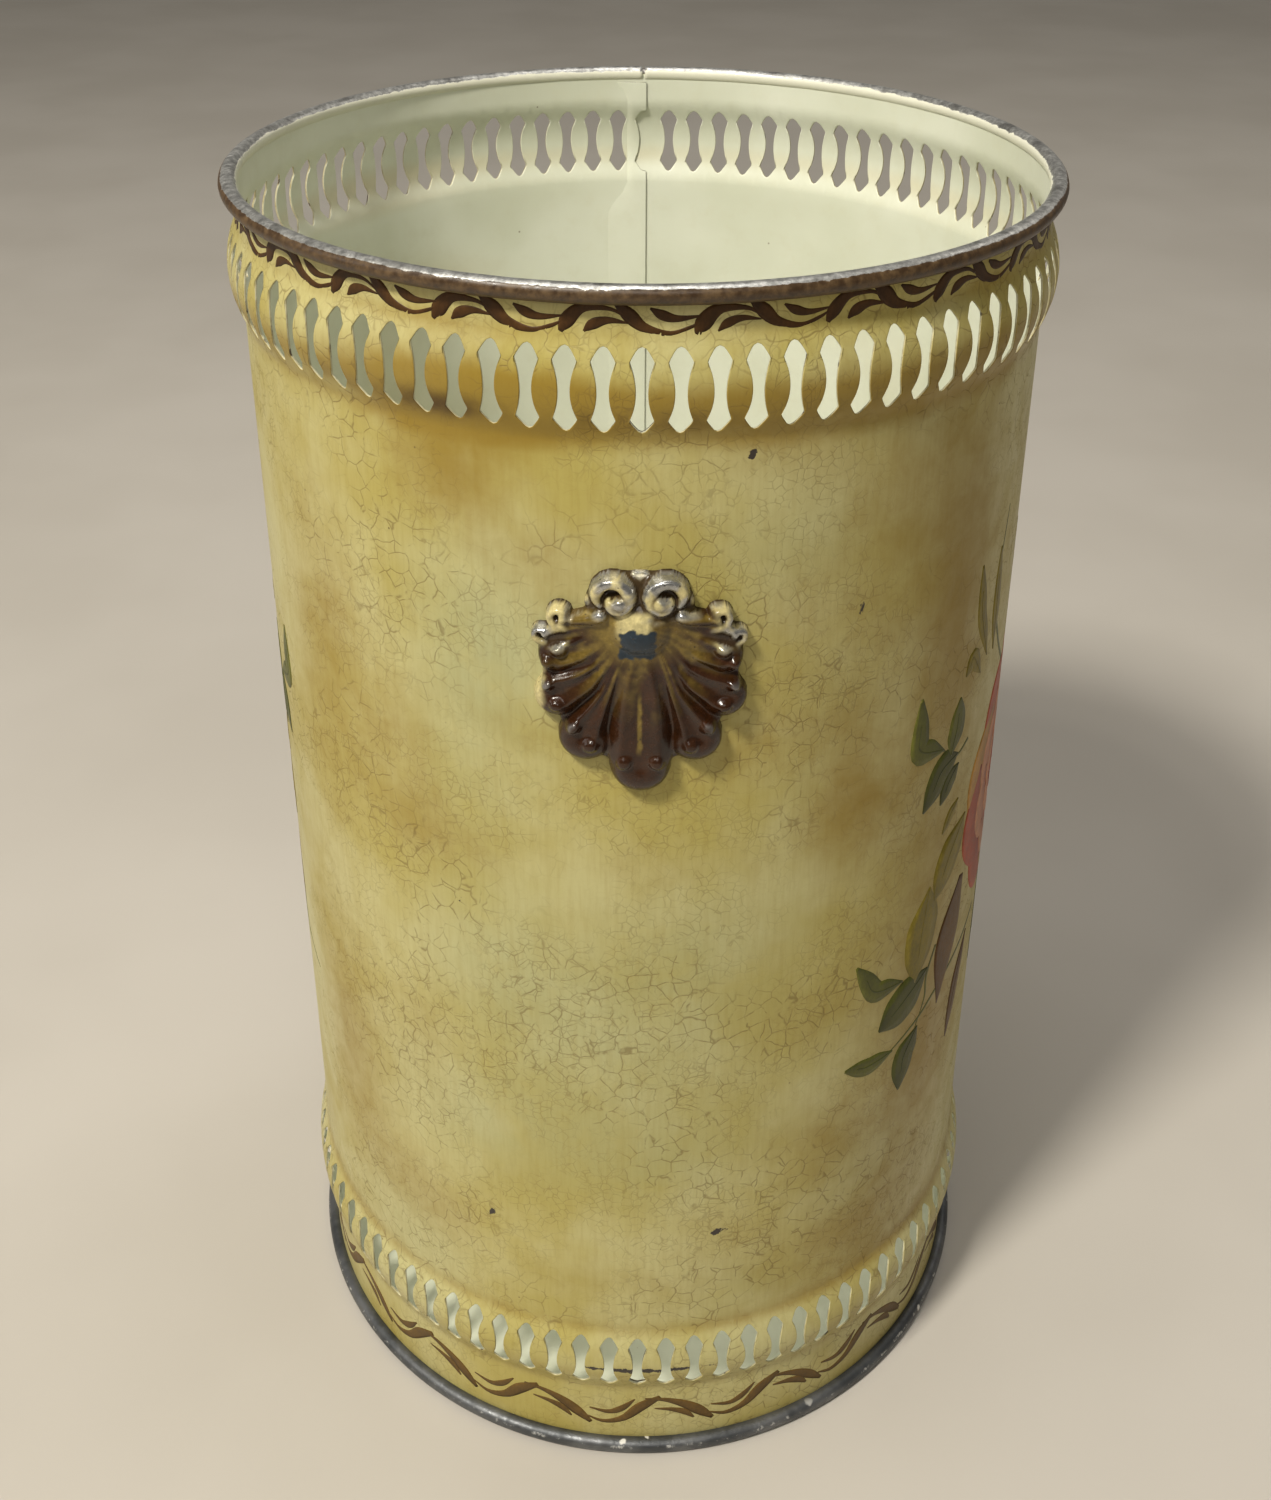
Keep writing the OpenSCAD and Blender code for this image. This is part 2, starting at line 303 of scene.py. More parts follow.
# ---------------------------------------------------------------- materials
class Paint:
    """A node material while it is being put together."""

    def __init__(self, name):
        self.material = bpy.data.materials.new(name)
        self.material.use_nodes = True
        self.tree = self.material.node_tree
        self.shader = self.tree.nodes["Principled BSDF"]
        self.place = self.add("ShaderNodeTexCoord").outputs["Object"]

    def add(self, kind, **settings):
        node = self.tree.nodes.new(kind)
        for key, value in settings.items():
            setattr(node, key, value)
        return node

    def feed(self, socket, value):
        if isinstance(value, bpy.types.NodeSocket):
            self.tree.links.new(value, socket)
        elif isinstance(value, (tuple, list)) and len(value) == 3 and socket.type == "RGBA":
            socket.default_value = (*value, 1)
        else:
            socket.default_value = value

    def set(self, name, value):
        self.feed(self.shader.inputs[name], value)

    def noise(self, size, detail=3.0, rough=0.5, stretch=None, warp=0.0):
        """Noise with features of a size in millimetres, about 0 to 1."""
        node = self.add("ShaderNodeTexNoise")
        self.feed(node.inputs["Vector"], self.stretched(stretch) if stretch else self.place)
        self.feed(node.inputs["Scale"], 1000 / size)
        self.feed(node.inputs["Detail"], detail)
        self.feed(node.inputs["Roughness"], rough)
        self.feed(node.inputs["Distortion"], warp)
        return node.outputs["Fac"]

    def stretched(self, scale):
        node = self.add("ShaderNodeMapping")
        self.feed(node.inputs["Vector"], self.place)
        self.feed(node.inputs["Scale"], scale)
        return node.outputs["Vector"]

    def warped(self, size, amount):
        """Places shifted by noise, amount in millimetres."""
        node = self.add("ShaderNodeTexNoise")
        self.feed(node.inputs["Vector"], self.place)
        self.feed(node.inputs["Scale"], 1000 / size)
        total = self.add("ShaderNodeVectorMath", operation="ADD")
        self.feed(total.inputs[0], self.place)
        self.feed(total.inputs[1], self.scaled(node.outputs["Color"], amount * MM))
        return total.outputs[0]

    def scaled(self, vector, factor):
        node = self.add("ShaderNodeVectorMath", operation="SCALE")
        self.feed(node.inputs[0], vector)
        self.feed(node.inputs["Scale"], factor)
        return node.outputs[0]

    def cracks(self, size, width, vector):
        """1 on the lines of a crackle network, 0 between them; both sizes in millimetres."""
        node = self.add("ShaderNodeTexVoronoi", feature="DISTANCE_TO_EDGE")
        self.feed(node.inputs["Vector"], vector)
        self.feed(node.inputs["Scale"], 1000 / size)
        return self.ramp(node.outputs["Distance"], width / size, 0)

    def spots(self, size, radius, vector=None):
        """1 inside scattered round spots."""
        node = self.add("ShaderNodeTexVoronoi", feature="F1")
        self.feed(node.inputs["Vector"], vector or self.place)
        self.feed(node.inputs["Scale"], 1000 / size)
        return self.ramp(node.outputs["Distance"], radius / size, radius / size * 0.55)

    def ramp(self, value, low, high, to_low=0.0, to_high=1.0):
        node = self.add("ShaderNodeMapRange", interpolation_type="SMOOTHSTEP")
        self.feed(node.inputs["Value"], value)
        for key, number in zip(("From Min", "From Max", "To Min", "To Max"),
                               (low, high, to_low, to_high)):
            self.feed(node.inputs[key], number)
        return node.outputs["Result"]

    def math(self, operation, a, b=0.0):
        node = self.add("ShaderNodeMath", operation=operation)
        self.feed(node.inputs[0], a)
        self.feed(node.inputs[1], b)
        return node.outputs[0]

    def times(self, *values):
        total = values[0]
        for value in values[1:]:
            total = self.math("MULTIPLY", total, value)
        return total

    def plus(self, *values):
        total = values[0]
        for value in values[1:]:
            total = self.math("ADD", total, value)
        return total

    def swing(self, value, amount):
        """Noise made to swing to both sides of 0, by half of amount at most."""
        return self.times(self.math("SUBTRACT", value, 0.5), amount)

    def mix(self, share, a, b):
        node = self.add("ShaderNodeMix", data_type="RGBA")
        self.feed(node.inputs[0], share)
        self.feed(node.inputs[6], a)
        self.feed(node.inputs[7], b)
        return node.outputs[2]

    def read(self, name):
        """The colour attribute's red, green and blue channels, its alpha and its colour."""
        node = self.add("ShaderNodeAttribute", attribute_name=name)
        split = self.add("ShaderNodeSeparateColor")
        self.feed(split.inputs[0], node.outputs["Color"])
        return (*split.outputs, node.outputs["Alpha"], node.outputs["Color"])

    def bump(self, value, depth):
        """A bump whose full height is depth, in millimetres."""
        node = self.add("ShaderNodeBump")
        self.feed(node.inputs["Height"], value)
        self.feed(node.inputs["Distance"], depth * MM)
        self.set("Normal", node.outputs[0])


CREAM = (0.55, 0.505, 0.235)
KHAKI = (0.45, 0.378, 0.105)
GREEN_GREY = (0.40, 0.415, 0.225)
AMBER = (0.27, 0.165, 0.012)
BROWN = (0.065, 0.032, 0.007)
PALE = (0.78, 0.80, 0.675)
CRACK = (0.15, 0.095, 0.028)


def wall_paint():
    p = Paint("aged_cream_paint")
    amber_and_shade, grey, brown, chip, _ = p.read("tint_and_shade")
    broad = p.noise(46, 4, 0.55)
    color = p.mix(p.ramp(broad, 0.35, 0.65), KHAKI, CREAM)
    mottled = p.noise(9, 5, 0.6, warp=0.4)
    grey_share = p.times(grey, p.ramp(mottled, 0.2, 0.6, 0.55, 1.0))
    color = p.mix(grey_share, color, GREEN_GREY)
    # The amber channel is partly the glaze's own clouds and partly painted shade, on the lower halves
    # of the bands, in their creases and on the right side; less of it on the bands' upper halves is a
    # painted highlight
    cloud = p.plus(amber_and_shade, p.swing(mottled, 0.55))
    color = p.mix(p.times(p.ramp(cloud, 0.08, 0.95), 0.84), color, AMBER)
    # Fine upright brush marks in the glaze
    streak = p.noise(1.1, 3, 0.6, stretch=(1, 1, 0.09))
    color = p.mix(p.ramp(streak, 0.35, 0.75, 0.0, 0.16), color, AMBER)
    # Crackle: a wide network, a fine one in its patches, both darkened by old varnish
    warped = p.warped(6, 3.0)
    patches = p.noise(38, 2, 0.5)
    wide = p.times(p.cracks(4.6, 0.24, warped), p.ramp(patches, 0.40, 0.60, 0.08, 1.0))
    fine = p.times(p.cracks(2.5, 0.18, warped), p.ramp(p.noise(27, 2, 0.5), 0.40, 0.60, 0.10, 1.0))
    crackle = p.math("MAXIMUM", wide, p.times(fine, 0.6))
    broken = p.ramp(p.noise(4, 3, 0.6), 0.38, 0.54, 0.05, 1.0)
    crackle = p.times(crackle, broken)
    color = p.mix(p.times(crackle, 0.55), color, CRACK)
    # Specks of dirt, and a few chips down to the dark metal
    speck = p.times(p.spots(7, 0.33), p.ramp(p.noise(16, 2, 0.5), 0.53, 0.6))
    color = p.mix(p.times(speck, 0.75), color, (0.11, 0.065, 0.025))
    # The brown channel carries painted shade under the upper band, besides the brown line under the rim
    brown_and_shade_share = p.ramp(p.plus(brown, p.swing(mottled, 0.5)), 0.1, 0.9)
    color = p.mix(brown_and_shade_share, color, BROWN)
    chipped = p.ramp(p.plus(chip, p.swing(p.noise(2.6, 4, 0.65), 1.5)), 0.46, 0.58)
    color = p.mix(chipped, color, (0.045, 0.036, 0.03))
    p.set("Base Color", color)
    p.set("Roughness", p.plus(p.ramp(mottled, 0.3, 0.7, 0.33, 0.46), p.times(crackle, 0.2)))
    p.set("Specular IOR Level", 0.27)
    p.set("Coat Weight", 0.05)
    p.set("Coat Roughness", 0.25)
    relief = p.plus(p.times(crackle, -0.55), p.times(streak, 0.12), p.times(mottled, 0.6),
                    p.times(chipped, -0.9), p.times(speck, 0.3))
    p.bump(relief, 0.09)
    return p.material


def inner_paint():
    p = Paint("pale_inner_paint")
    broad = p.noise(55, 3, 0.55)
    color = p.mix(p.ramp(broad, 0.35, 0.65), (0.68, 0.70, 0.56), PALE)
    fine = p.noise(6, 5, 0.6)
    color = p.mix(p.ramp(fine, 0.45, 0.8, 0.0, 0.2), color, (0.62, 0.60, 0.42))
    # The amber channel, which holds painted shade of the bands, tints the inside near them too
    amber_and_shade = p.read("tint_and_shade")[0]
    color = p.mix(p.times(p.ramp(amber_and_shade, 0.3, 1.0), 0.45), color, (0.55, 0.40, 0.13))
    rusty = p.times(p.spots(9, 0.4), p.ramp(p.noise(22, 2, 0.5), 0.56, 0.62))
    color = p.mix(p.times(rusty, 0.7), color, (0.17, 0.11, 0.05))
    p.set("Base Color", color)
    p.set("Roughness", p.ramp(fine, 0.3, 0.7, 0.36, 0.5))
    p.bump(p.plus(p.times(fine, 0.6), p.times(p.noise(1.2, 3, 0.6, stretch=(1, 1, 0.1)), 0.2)), 0.08)
    return p.material


def edge_paint():
    p = Paint("pale_cut_edge")
    fine = p.noise(2.4, 4, 0.6)
    color = p.mix(p.ramp(fine, 0.35, 0.7), (0.60, 0.57, 0.38), (0.42, 0.36, 0.19))
    worn = p.ramp(p.noise(5, 3, 0.6), 0.6, 0.68)
    color = p.mix(worn, color, (0.10, 0.075, 0.05))
    p.set("Base Color", color)
    p.set("Roughness", 0.5)
    p.bump(fine, 0.05)
    return p.material


def rim_metal():
    """Dark brown paint below, rubbed through to bright tin along the top."""
    p = Paint("worn_rim")
    wear, dark, _, _, _ = p.read("wear")
    fine = p.noise(2.2, 5, 0.65)
    long_marks = p.noise(14, 4, 0.6)
    share = p.ramp(p.plus(wear, p.swing(fine, 1.1), p.swing(long_marks, 1.2)), 0.34, 0.5)
    tin = p.mix(p.ramp(p.noise(1.3, 4, 0.7), 0.3, 0.7), (0.34, 0.34, 0.33), (0.68, 0.68, 0.65))
    tarnish = p.ramp(p.noise(7, 4, 0.6), 0.50, 0.68)
    tin = p.mix(p.times(tarnish, 0.6), tin, (0.15, 0.14, 0.125))
    paint = p.mix(p.ramp(fine, 0.35, 0.7), (0.045, 0.024, 0.010), (0.12, 0.072, 0.03))
    flaked = p.ramp(p.plus(dark, p.swing(fine, 1.2)), 0.45, 0.6)
    paint = p.mix(flaked, paint, (0.74, 0.73, 0.60))
    p.set("Base Color", p.mix(share, paint, tin))
    p.set("Metallic", p.times(share, 0.85))
    p.set("Roughness", p.ramp(fine, 0.3, 0.7, 0.28, 0.52))
    p.bump(p.plus(p.times(fine, 0.7), p.times(share, -0.5)), 0.14)
    return p.material


def foot_metal():
    p = Paint("dull_foot_metal")
    wear, _, _, _, _ = p.read("wear")
    fine = p.noise(2.4, 5, 0.65)
    broad = p.noise(17, 4, 0.6)
    metal = p.mix(p.ramp(broad, 0.35, 0.65), (0.085, 0.09, 0.095), (0.175, 0.18, 0.185))
    scuff = p.ramp(p.plus(wear, p.swing(fine, 1.5)), 0.55, 0.75)
    metal = p.mix(scuff, metal, (0.55, 0.55, 0.53))
    chip = p.times(p.spots(12, 1.3, p.warped(3, 2.5)), p.ramp(p.noise(30, 2, 0.5), 0.52, 0.57))
    p.set("Base Color", p.mix(chip, metal, (0.72, 0.71, 0.66)))
    p.set("Metallic", p.ramp(chip, 0, 1, 0.75, 0.0))
    p.set("Roughness", p.ramp(fine, 0.3, 0.7, 0.36, 0.58))
    p.bump(fine, 0.16)
    return p.material


def two_tone(name, size, dark, light, roughness, depth, metallic=0.0):
    """A finish that varies finely between two colours and two roughnesses."""
    p = Paint(name)
    fine = p.noise(size, 4, 0.6)
    p.set("Base Color", p.mix(p.ramp(fine, 0.35, 0.7), dark, light))
    p.set("Metallic", metallic)
    p.set("Roughness", p.ramp(fine, 0.3, 0.7, *roughness))
    p.bump(fine, depth)
    return p.material


def shell_paint():
    """Dark bronze-brown paint rubbed to gold, cream and pewter on the high places."""
    p = Paint("rubbed_bronze_paint")
    _, _, _, metal, color = p.read("paint")
    fine = p.noise(1.6, 5, 0.65)
    broken = p.ramp(fine, 0.3, 0.72, 0.72, 1.22)
    dirt = p.times(p.spots(2.4, 0.3), 0.7)
    p.set("Base Color", p.mix(dirt, p.scaled(color, broken), (0.03, 0.018, 0.01)))
    p.set("Metallic", p.times(metal, 0.8))
    p.set("Roughness", p.ramp(fine, 0.3, 0.75, 0.16, 0.30))
    p.set("Specular IOR Level", 0.35)
    p.set("Coat Weight", 0.2)
    p.set("Coat Roughness", 0.1)
    p.bump(p.plus(fine, p.times(p.noise(0.7, 3, 0.6), 0.4)), 0.09)
    return p.material


def brushed_paint(name, gloss):
    """Paint laid on with a brush, which takes its colour from the stroke."""
    p = Paint(name)
    _, _, _, thin, color = p.read("paint")
    hairs = p.noise(0.8, 4, 0.65, stretch=(1, 1, 0.45))
    uneven = p.noise(5, 3, 0.55)
    shade = p.plus(p.ramp(hairs, 0.3, 0.7, 0.8, 1.15), p.ramp(uneven, 0.3, 0.7, -0.1, 0.15))
    rubbed = p.ramp(p.plus(thin, p.swing(p.noise(2.2, 4, 0.7), 1.3)), 0.7, 0.95)
    p.set("Base Color", p.mix(p.times(rubbed, 0.6), p.scaled(color, shade), KHAKI))
    p.set("Roughness", p.ramp(hairs, 0.3, 0.7, gloss, gloss + 0.12))
    p.set("Specular IOR Level", 0.2)
    p.bump(hairs, 0.05)
    return p.material


WALL = wall_paint()
INNER = inner_paint()
EDGE = edge_paint()
# Dirt and rust in the lap, and painted shade, on the cut edges of the lapped strips
GRIME_AND_SHADE = two_tone("lap_grime_and_shade", 1.8, (0.05, 0.035, 0.02), (0.16, 0.12, 0.06), (0.55, 0.8), 0.1)
WIRE = two_tone("drawn_wire", 1.5, (0.22, 0.20, 0.18), (0.42, 0.41, 0.39), (0.35, 0.55), 0.05, 0.9)


# ---------------------------------------------------------------- the two wall sheets
def blob(s, z, middle_s, middle_z, wide, tall):
    """A soft round patch on the wall, 1 in its middle. It wraps round the basket."""
    ds = (s - middle_s + TURN / 2) % TURN - TURN / 2
    return np.exp(-(ds / wide) ** 2 - ((z - middle_z) / tall) ** 2)


# Soft patches in the paint: place round the wall, height, half width, half height, strength
# The amber patches on the right side, the tall one at 88 most of all, are partly painted warm shade of
# that side and partly the glaze's own clouds
AMBER_AND_SHADE_CLOUDS = [
    (-42, 310, 22, 13, 0.55), (-26, 322, 30, 10, 0.75), (24, 310, 16, 9, 0.30),
    (-50, 330, 26, 10, 0.35), (-20, 282, 20, 14, 0.45), (32, 262, 12, 22, 0.30),
    (22, 236, 20, 12, 0.40), (-26, 238, 16, 14, 0.30), (-48, 205, 26, 11, 0.34),
    (-58, 225, 14, 26, 0.35), (52, 212, 16, 16, 0.35), (40, 150, 22, 12, 0.28),
    (-56, 140, 12, 30, 0.30), (10, 205, 30, 8, 0.20), (50, 105, 20, 18, 0.38),
    (-60, 78, 22, 16, 0.45), (0, 66, 34, 10, 0.30), (60, 66, 30, 14, 0.42),
    (20, 84, 16, 10, 0.30), (-84, 250, 20, 44, 0.42), (84, 258, 16, 46, 0.35),
    (-90, 110, 22, 44, 0.45), (92, 120, 22, 40, 0.35), (88, 190, 34, 170, 0.55),
    (56, 300, 26, 30, 0.30), (-98, 190, 26, 120, 0.22), (50, 235, 12, 40, 0.30),
    (28, 322, 30, 8, 0.35), (-44, 296, 14, 10, 0.40), (0, 190, 10, 60, 0.12),
]
GREY_CLOUDS = [
    (-30, 262, 20, 22, 0.45), (34, 286, 22, 14, 0.30), (-34, 168, 24, 22, 0.42),
    (-10, 150, 26, 30, 0.30), (14, 180, 20, 16, 0.25), (-40, 118, 30, 22, 0.40),
    (30, 60, 20, 12, 0.20), (46, 240, 14, 30, 0.30), (66, 90, 18, 26, 0.25),
    (4, 110, 22, 14, 0.25), (-70, 60, 20, 18, 0.30), (-40, 240, 18, 50, 0.35),
    (16, 150, 30, 50, 0.22),
]
# Worn spots: place, height, half width, half height, strength
CHIPS = [
    (22.8, 309.3, 1.3, 1.4, 0.8), (21.6, 84, 2.4, 0.9, 0.9), (-40, 84.5, 1.0, 1.6, 0.8),
    (-34, 183, 0.9, 1.8, 0.75), (-12, 135, 0.7, 1.6, 0.75), (-44, 188, 1.2, 0.9, 0.7),
    (34, 300, 0.8, 1.4, 0.7), (52, 268, 0.7, 2.2, 0.7), (-62, 296, 1.0, 1.6, 0.7),
    (150, 220, 1.3, 2.0, 0.9), (200, 120, 2.0, 1.2, 0.85), (262, 260, 1.2, 1.6, 0.8),
    (330, 90, 1.8, 1.5, 0.9), (380, 200, 1.2, 2.4, 0.8), (450, 140, 1.6, 1.2, 0.85),
    (500, 280, 1.2, 1.5, 0.8),
]


def wall_tint_and_shade(flat):
    s, z = flat[:, 0], flat[:, 1]
    amber_and_shade, grey = np.zeros(len(s)), np.zeros(len(s))
    for total, clouds in ((amber_and_shade, AMBER_AND_SHADE_CLOUDS), (grey, GREY_CLOUDS)):
        for cloud_s, cloud_z, wide, tall, strength in clouds:
            total += strength * blob(s, z, cloud_s, cloud_z, wide, tall)
            # The back of the basket is clouded in the same way
            total += strength * blob(s, z, cloud_s + TURN / 2, 352 - cloud_z, wide, tall)
    # Painted shade in amber on the lower half of each raised band and in the creases beside it, and a
    # painted highlight that takes amber off the upper half
    for middle, share in zip(BAND_Z, (0.55, 1.0)):
        d = z - middle
        amber_and_shade += share * 0.62 * np.exp(-((d + 4.5) / 5.0) ** 2)
        amber_and_shade += 0.30 * np.exp(-((np.abs(d) - 11.5) / 2.2) ** 2)
        amber_and_shade -= 0.20 * np.exp(-((d - 7) / 3.5) ** 2)
    amber_and_shade += 0.25 * smoothstep(20, 4, z) + 0.22 * smoothstep(62, 48, z) * (z > 45)
    # Brown: a line under the rim, darker brown just above the foot, and patchy painted shade on the
    # lower half of the upper band
    brown = 0.55 * smoothstep(341.0, 343.2, z) + 0.35 * smoothstep(6.5, 3.5, z)
    patchiness = 0.55 + 0.45 * np.sin(s / 17 + 1.3) * np.sin(s / 7.3)
    low = np.exp(-((z - BAND_Z[1] + 6.0) / 3.6) ** 2)
    brown += 0.85 * low * patchiness * (0.35 + 0.65 * blob(s, 0, -38, 0, 40, 1))
    chip = np.zeros(len(s))
    for chip_s, chip_z, wide, tall, strength in CHIPS:
        chip += strength * blob(s, z, chip_s, chip_z, wide, tall)
    # A dark line of chips along the crest of the lower band, at the front
    front = blob(s, 0, 0, 0, 24, 1)
    chip += 0.85 * front * np.exp(-((z - BAND_Z[0] + 1.0) / 1.1) ** 2)
    return np.stack([np.clip(amber_and_shade, 0, 1), np.clip(grey, 0, 1), brown, np.clip(chip, 0, 1)], axis=1)


LOW_NECK = plain_rows(FOOT_BEAD_Z, BAND_Z[0] - ZONE_HALF, 1.6)
BODY_ROWS = plain_rows(BAND_Z[0] + ZONE_HALF, BAND_Z[1] - ZONE_HALF, 3.2)
HIGH_NECK = plain_rows(BAND_Z[1] + ZONE_HALF, TOP_BEAD_Z, 1.2)


def wall_net(first, last, cut):
    """A sheet from one half-cell line to another; cut lists the half cells that have a slot."""
    net = Net()
    columns = cell_columns(first, last)
    for heights in (LOW_NECK, BODY_ROWS, HIGH_NECK):
        plain(net, columns, heights)
    for middle in BAND_Z:
        for half in range(first, last):
            # Half cell h lies between half-cell lines h and h + 1; even lines are slot middles
            if half not in cut:
                plain(net, cell_columns(half, half + 1), zone_rows(middle))
            elif half % 2 == 0:
                half_cell(net, half * PITCH / 2, middle, 1)
            else:
                half_cell(net, (half + 1) * PITCH / 2, middle, -1)
    return net


# The half-cell line of the back seam
SEAM_HALF = SLOTS + 1
for side, first, last, cut in (
        ("right", 0, SEAM_HALF, range(0, SEAM_HALF - 2)),
        ("left", SEAM_HALF, 2 * SLOTS, range(SEAM_HALF, 2 * SLOTS))):
    sheet, flat = sheet_object(f"painted_wall_{side}", wall_net(first, last, cut),
                               np.zeros_like, SHEET, [WALL, INNER, EDGE])
    add_colors(sheet, "tint_and_shade", wall_tint_and_shade(flat))
    finish_piece(sheet, "wall_paint", f"wall_panel_{side}")


BACK_SLOT_S = PITCH * SLOTS / 2
BACK_SEAM_S = BACK_SLOT_S + PITCH / 2
# Width of the step beside the back seam, and how much wider it is away from the slots
STEP_WIDE = 1.1
SOFT_STEP = 6.0
TUCK_FOOT = plain_rows(TUCK_LOW, BAND_Z[0] - ZONE_HALF, 3)
TUCK_HEAD = plain_rows(BAND_Z[1] + ZONE_HALF, TUCK_HIGH, 3)


def tuck_net(columns, half_cells, shift):
    """The strip of a sheet that is tucked behind its neighbour at a seam."""
    net = Net()
    for heights in (TUCK_FOOT, BODY_ROWS, TUCK_HEAD):
        net.patch([[shift((s, z)) for s in columns] for z in heights])
    for middle in BAND_Z:
        for middle_s, side in half_cells:
            half_cell(net, middle_s, middle, side, shift)
    return net


def front_shift(p):
    """Draws the strip's free edge out to the width of the lap."""
    return (-LAP, p[1]) if p[0] < -PITCH / 2 + 0.01 else p


def back_shift(p):
    """Draws the strip's free edge past the middle of the slot that it covers."""
    return (p[0] - LAP_BACK_REACH, p[1]) if abs(p[0] - BACK_SLOT_S) < 0.01 else p


def stepped(start, end):
    """The inset of a lapped edge that steps back out to its own sheet between two places."""
    return lambda s: TUCK_INSET * (1 - smoothstep(start, end, s)) + 0.015


def softened_step(p):
    """Away from the slots the back lap steps out over a longer way."""
    far = min(abs(p[1] - middle) for middle in BAND_Z) - ZONE_HALF
    grow = SOFT_STEP * float(smoothstep(0, 10, far))
    return (p[0] + grow, p[1]) if p[0] > BACK_SEAM_S + STEP_WIDE - 0.01 else p


quarter = PITCH / CELL_ACROSS
front_tuck = tuck_net([i * quarter for i in range(-2, 3)], [(0, -1), (0, 1)], front_shift)
back_tuck = tuck_net([BACK_SLOT_S + i * quarter for i in range(3)], [(BACK_SLOT_S, 1)], back_shift)
for heights in (TUCK_FOOT, zone_rows(BAND_Z[0]), BODY_ROWS, zone_rows(BAND_Z[1]), TUCK_HEAD):
    plain(back_tuck, [BACK_SEAM_S, BACK_SEAM_S + STEP_WIDE], heights)
back_tuck.points = [softened_step(point) for point in back_tuck.points]
for name, net, inset_of in (
        ("front_lap_strip", front_tuck, stepped(0.4, PITCH / 2)),
        ("back_lap_strip", back_tuck, stepped(BACK_SEAM_S - 0.6, BACK_SEAM_S + STEP_WIDE))):
    strip, flat = sheet_object(name, net, inset_of, SHEET, [INNER, INNER, GRIME_AND_SHADE])
    finish_piece(strip, "inner_paint")


# ---------------------------------------------------------------- rim and foot beads
def bead(name, ring_z, start, end, material, wear_of, flat_foot=False):
    """A rolled bead with slight dents. wear_of gives two kinds of wear at an angle round
    its section."""
    closed = end - start > TURN - 0.01
    rows = 720
    around = 28
    turns = np.linspace(start, end, rows + 1)
    if closed:
        turns = turns[:-1]
    section = np.linspace(0, 2 * np.pi, around, endpoint=False)
    s, a = np.meshgrid(turns, section, indexing="ij")
    ring = np.stack([s.ravel() / 9, np.cos(s.ravel() / BODY_R) * 4, a.ravel() * 0.5], axis=1)
    dent = (noise_at(ring, 1.0, 3.1).reshape(s.shape) - 1) * 0.035
    wave = (noise_at(ring / 4, 1.0, 8.3).reshape(s.shape) - 1) * 0.09
    radius = BEAD_RING_R + wobble(s) + (BEAD_R + dent) * np.cos(a)
    z = ring_z + (BEAD_R + dent + wave * (np.sin(a) > 0) * np.sin(a)) * np.sin(a)
    if flat_foot:
        z = np.maximum(z, 0.0)
    turn = s / BODY_R
    points = np.stack([radius * np.sin(turn), -radius * np.cos(turn), z], axis=-1) * MM
    count = len(turns)
    faces = []
    for i in range(count if closed else count - 1):
        j = (i + 1) % count
        for k in range(around):
            m = (k + 1) % around
            faces.append((i * around + k, j * around + k, j * around + m, i * around + m))
    if not closed:
        faces.append(tuple(range(around)))
        faces.append(tuple((count - 1) * around + k for k in reversed(range(around))))
    piece = make_object(name, points.reshape(-1, 3), faces, [material])
    wear, dark = (share.ravel() for share in wear_of(a))
    zero = np.zeros(len(wear))
    add_colors(piece, "wear", np.stack([wear, dark, zero, zero + 1], axis=1))
    return piece


def rim_wear(a):
    """Tin shows along the top; cream paint reaches up the inner side."""
    turn = np.degrees(a)
    top = smoothstep(28, 62, turn) * smoothstep(172, 120, turn)
    inner = smoothstep(105, 150, turn) * smoothstep(275, 225, turn)
    return top * 0.9, inner


def foot_wear(a):
    """The outer side is scuffed, most of all a little above its middle."""
    scuffed = smoothstep(0.3, 1.0, np.cos(a)) * smoothstep(1.2, 0.0, np.abs(a - np.pi / 5))
    return 0.45 * scuffed + 0.1, np.zeros_like(a)


RIM = rim_metal()
rim = bead("rolled_rim", TOP_BEAD_Z, -TURN / 2 + BEAD_BREAK / 2, TURN / 2 - BEAD_BREAK / 2, RIM,
           rim_wear)
finish_piece(rim, "rim_metal", "top_rim_bead")
foot = bead("rolled_foot", FOOT_BEAD_Z, 0, TURN, foot_metal(), foot_wear, flat_foot=True)
finish_piece(foot, "foot_metal", "bottom_rim_bead")

for node, material in (("top_rim_wire", WIRE), ("bottom_rim_wire", WIRE), ("base_pan", INNER)):
    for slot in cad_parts[node].material_slots:
        slot.material = material


# ---------------------------------------------------------------- shell ornament
def polyline_tube(heights, u, v, path, radii, depths):
    """Raises a height field over a round tube that follows a path."""
    for (pu, pv), radius, depth in zip(path, radii, depths):
        d2 = (u - pu) ** 2 + (v - pv) ** 2
        inside = d2 < radius ** 2
        top = depth + np.sqrt(np.maximum(radius ** 2 - d2, 0))
        heights[inside] = np.maximum(heights[inside], top[inside])


def spiral(middle, start, turn, far, near, steps):
    """Points from the outer end of a spiral to its eye; angles in degrees."""
    angles = np.radians(np.linspace(start, start + turn, steps))
    reach = np.linspace(far, near, steps)
    return [(middle[0] + r * math.cos(a), middle[1] + r * math.sin(a)) for a, r in zip(angles, reach)]


# Lobes of the shell on its right half: middle and radius of the rounded end, and height
LOBES = [(0.0, -21.4, 6.9, 4.5), (12.2, -14.2, 6.2, 4.3), (18.3, -4.0, 5.4, 4.0),
         (18.0, 6.3, 4.6, 3.6)]
BOSSES = [(3.4, -18.9), (10.7, -14.8), (14.3, -10.2), (17.8, -5.0), (20.1, 0.3), (19.9, 5.3),
          (17.2, 8.4)]
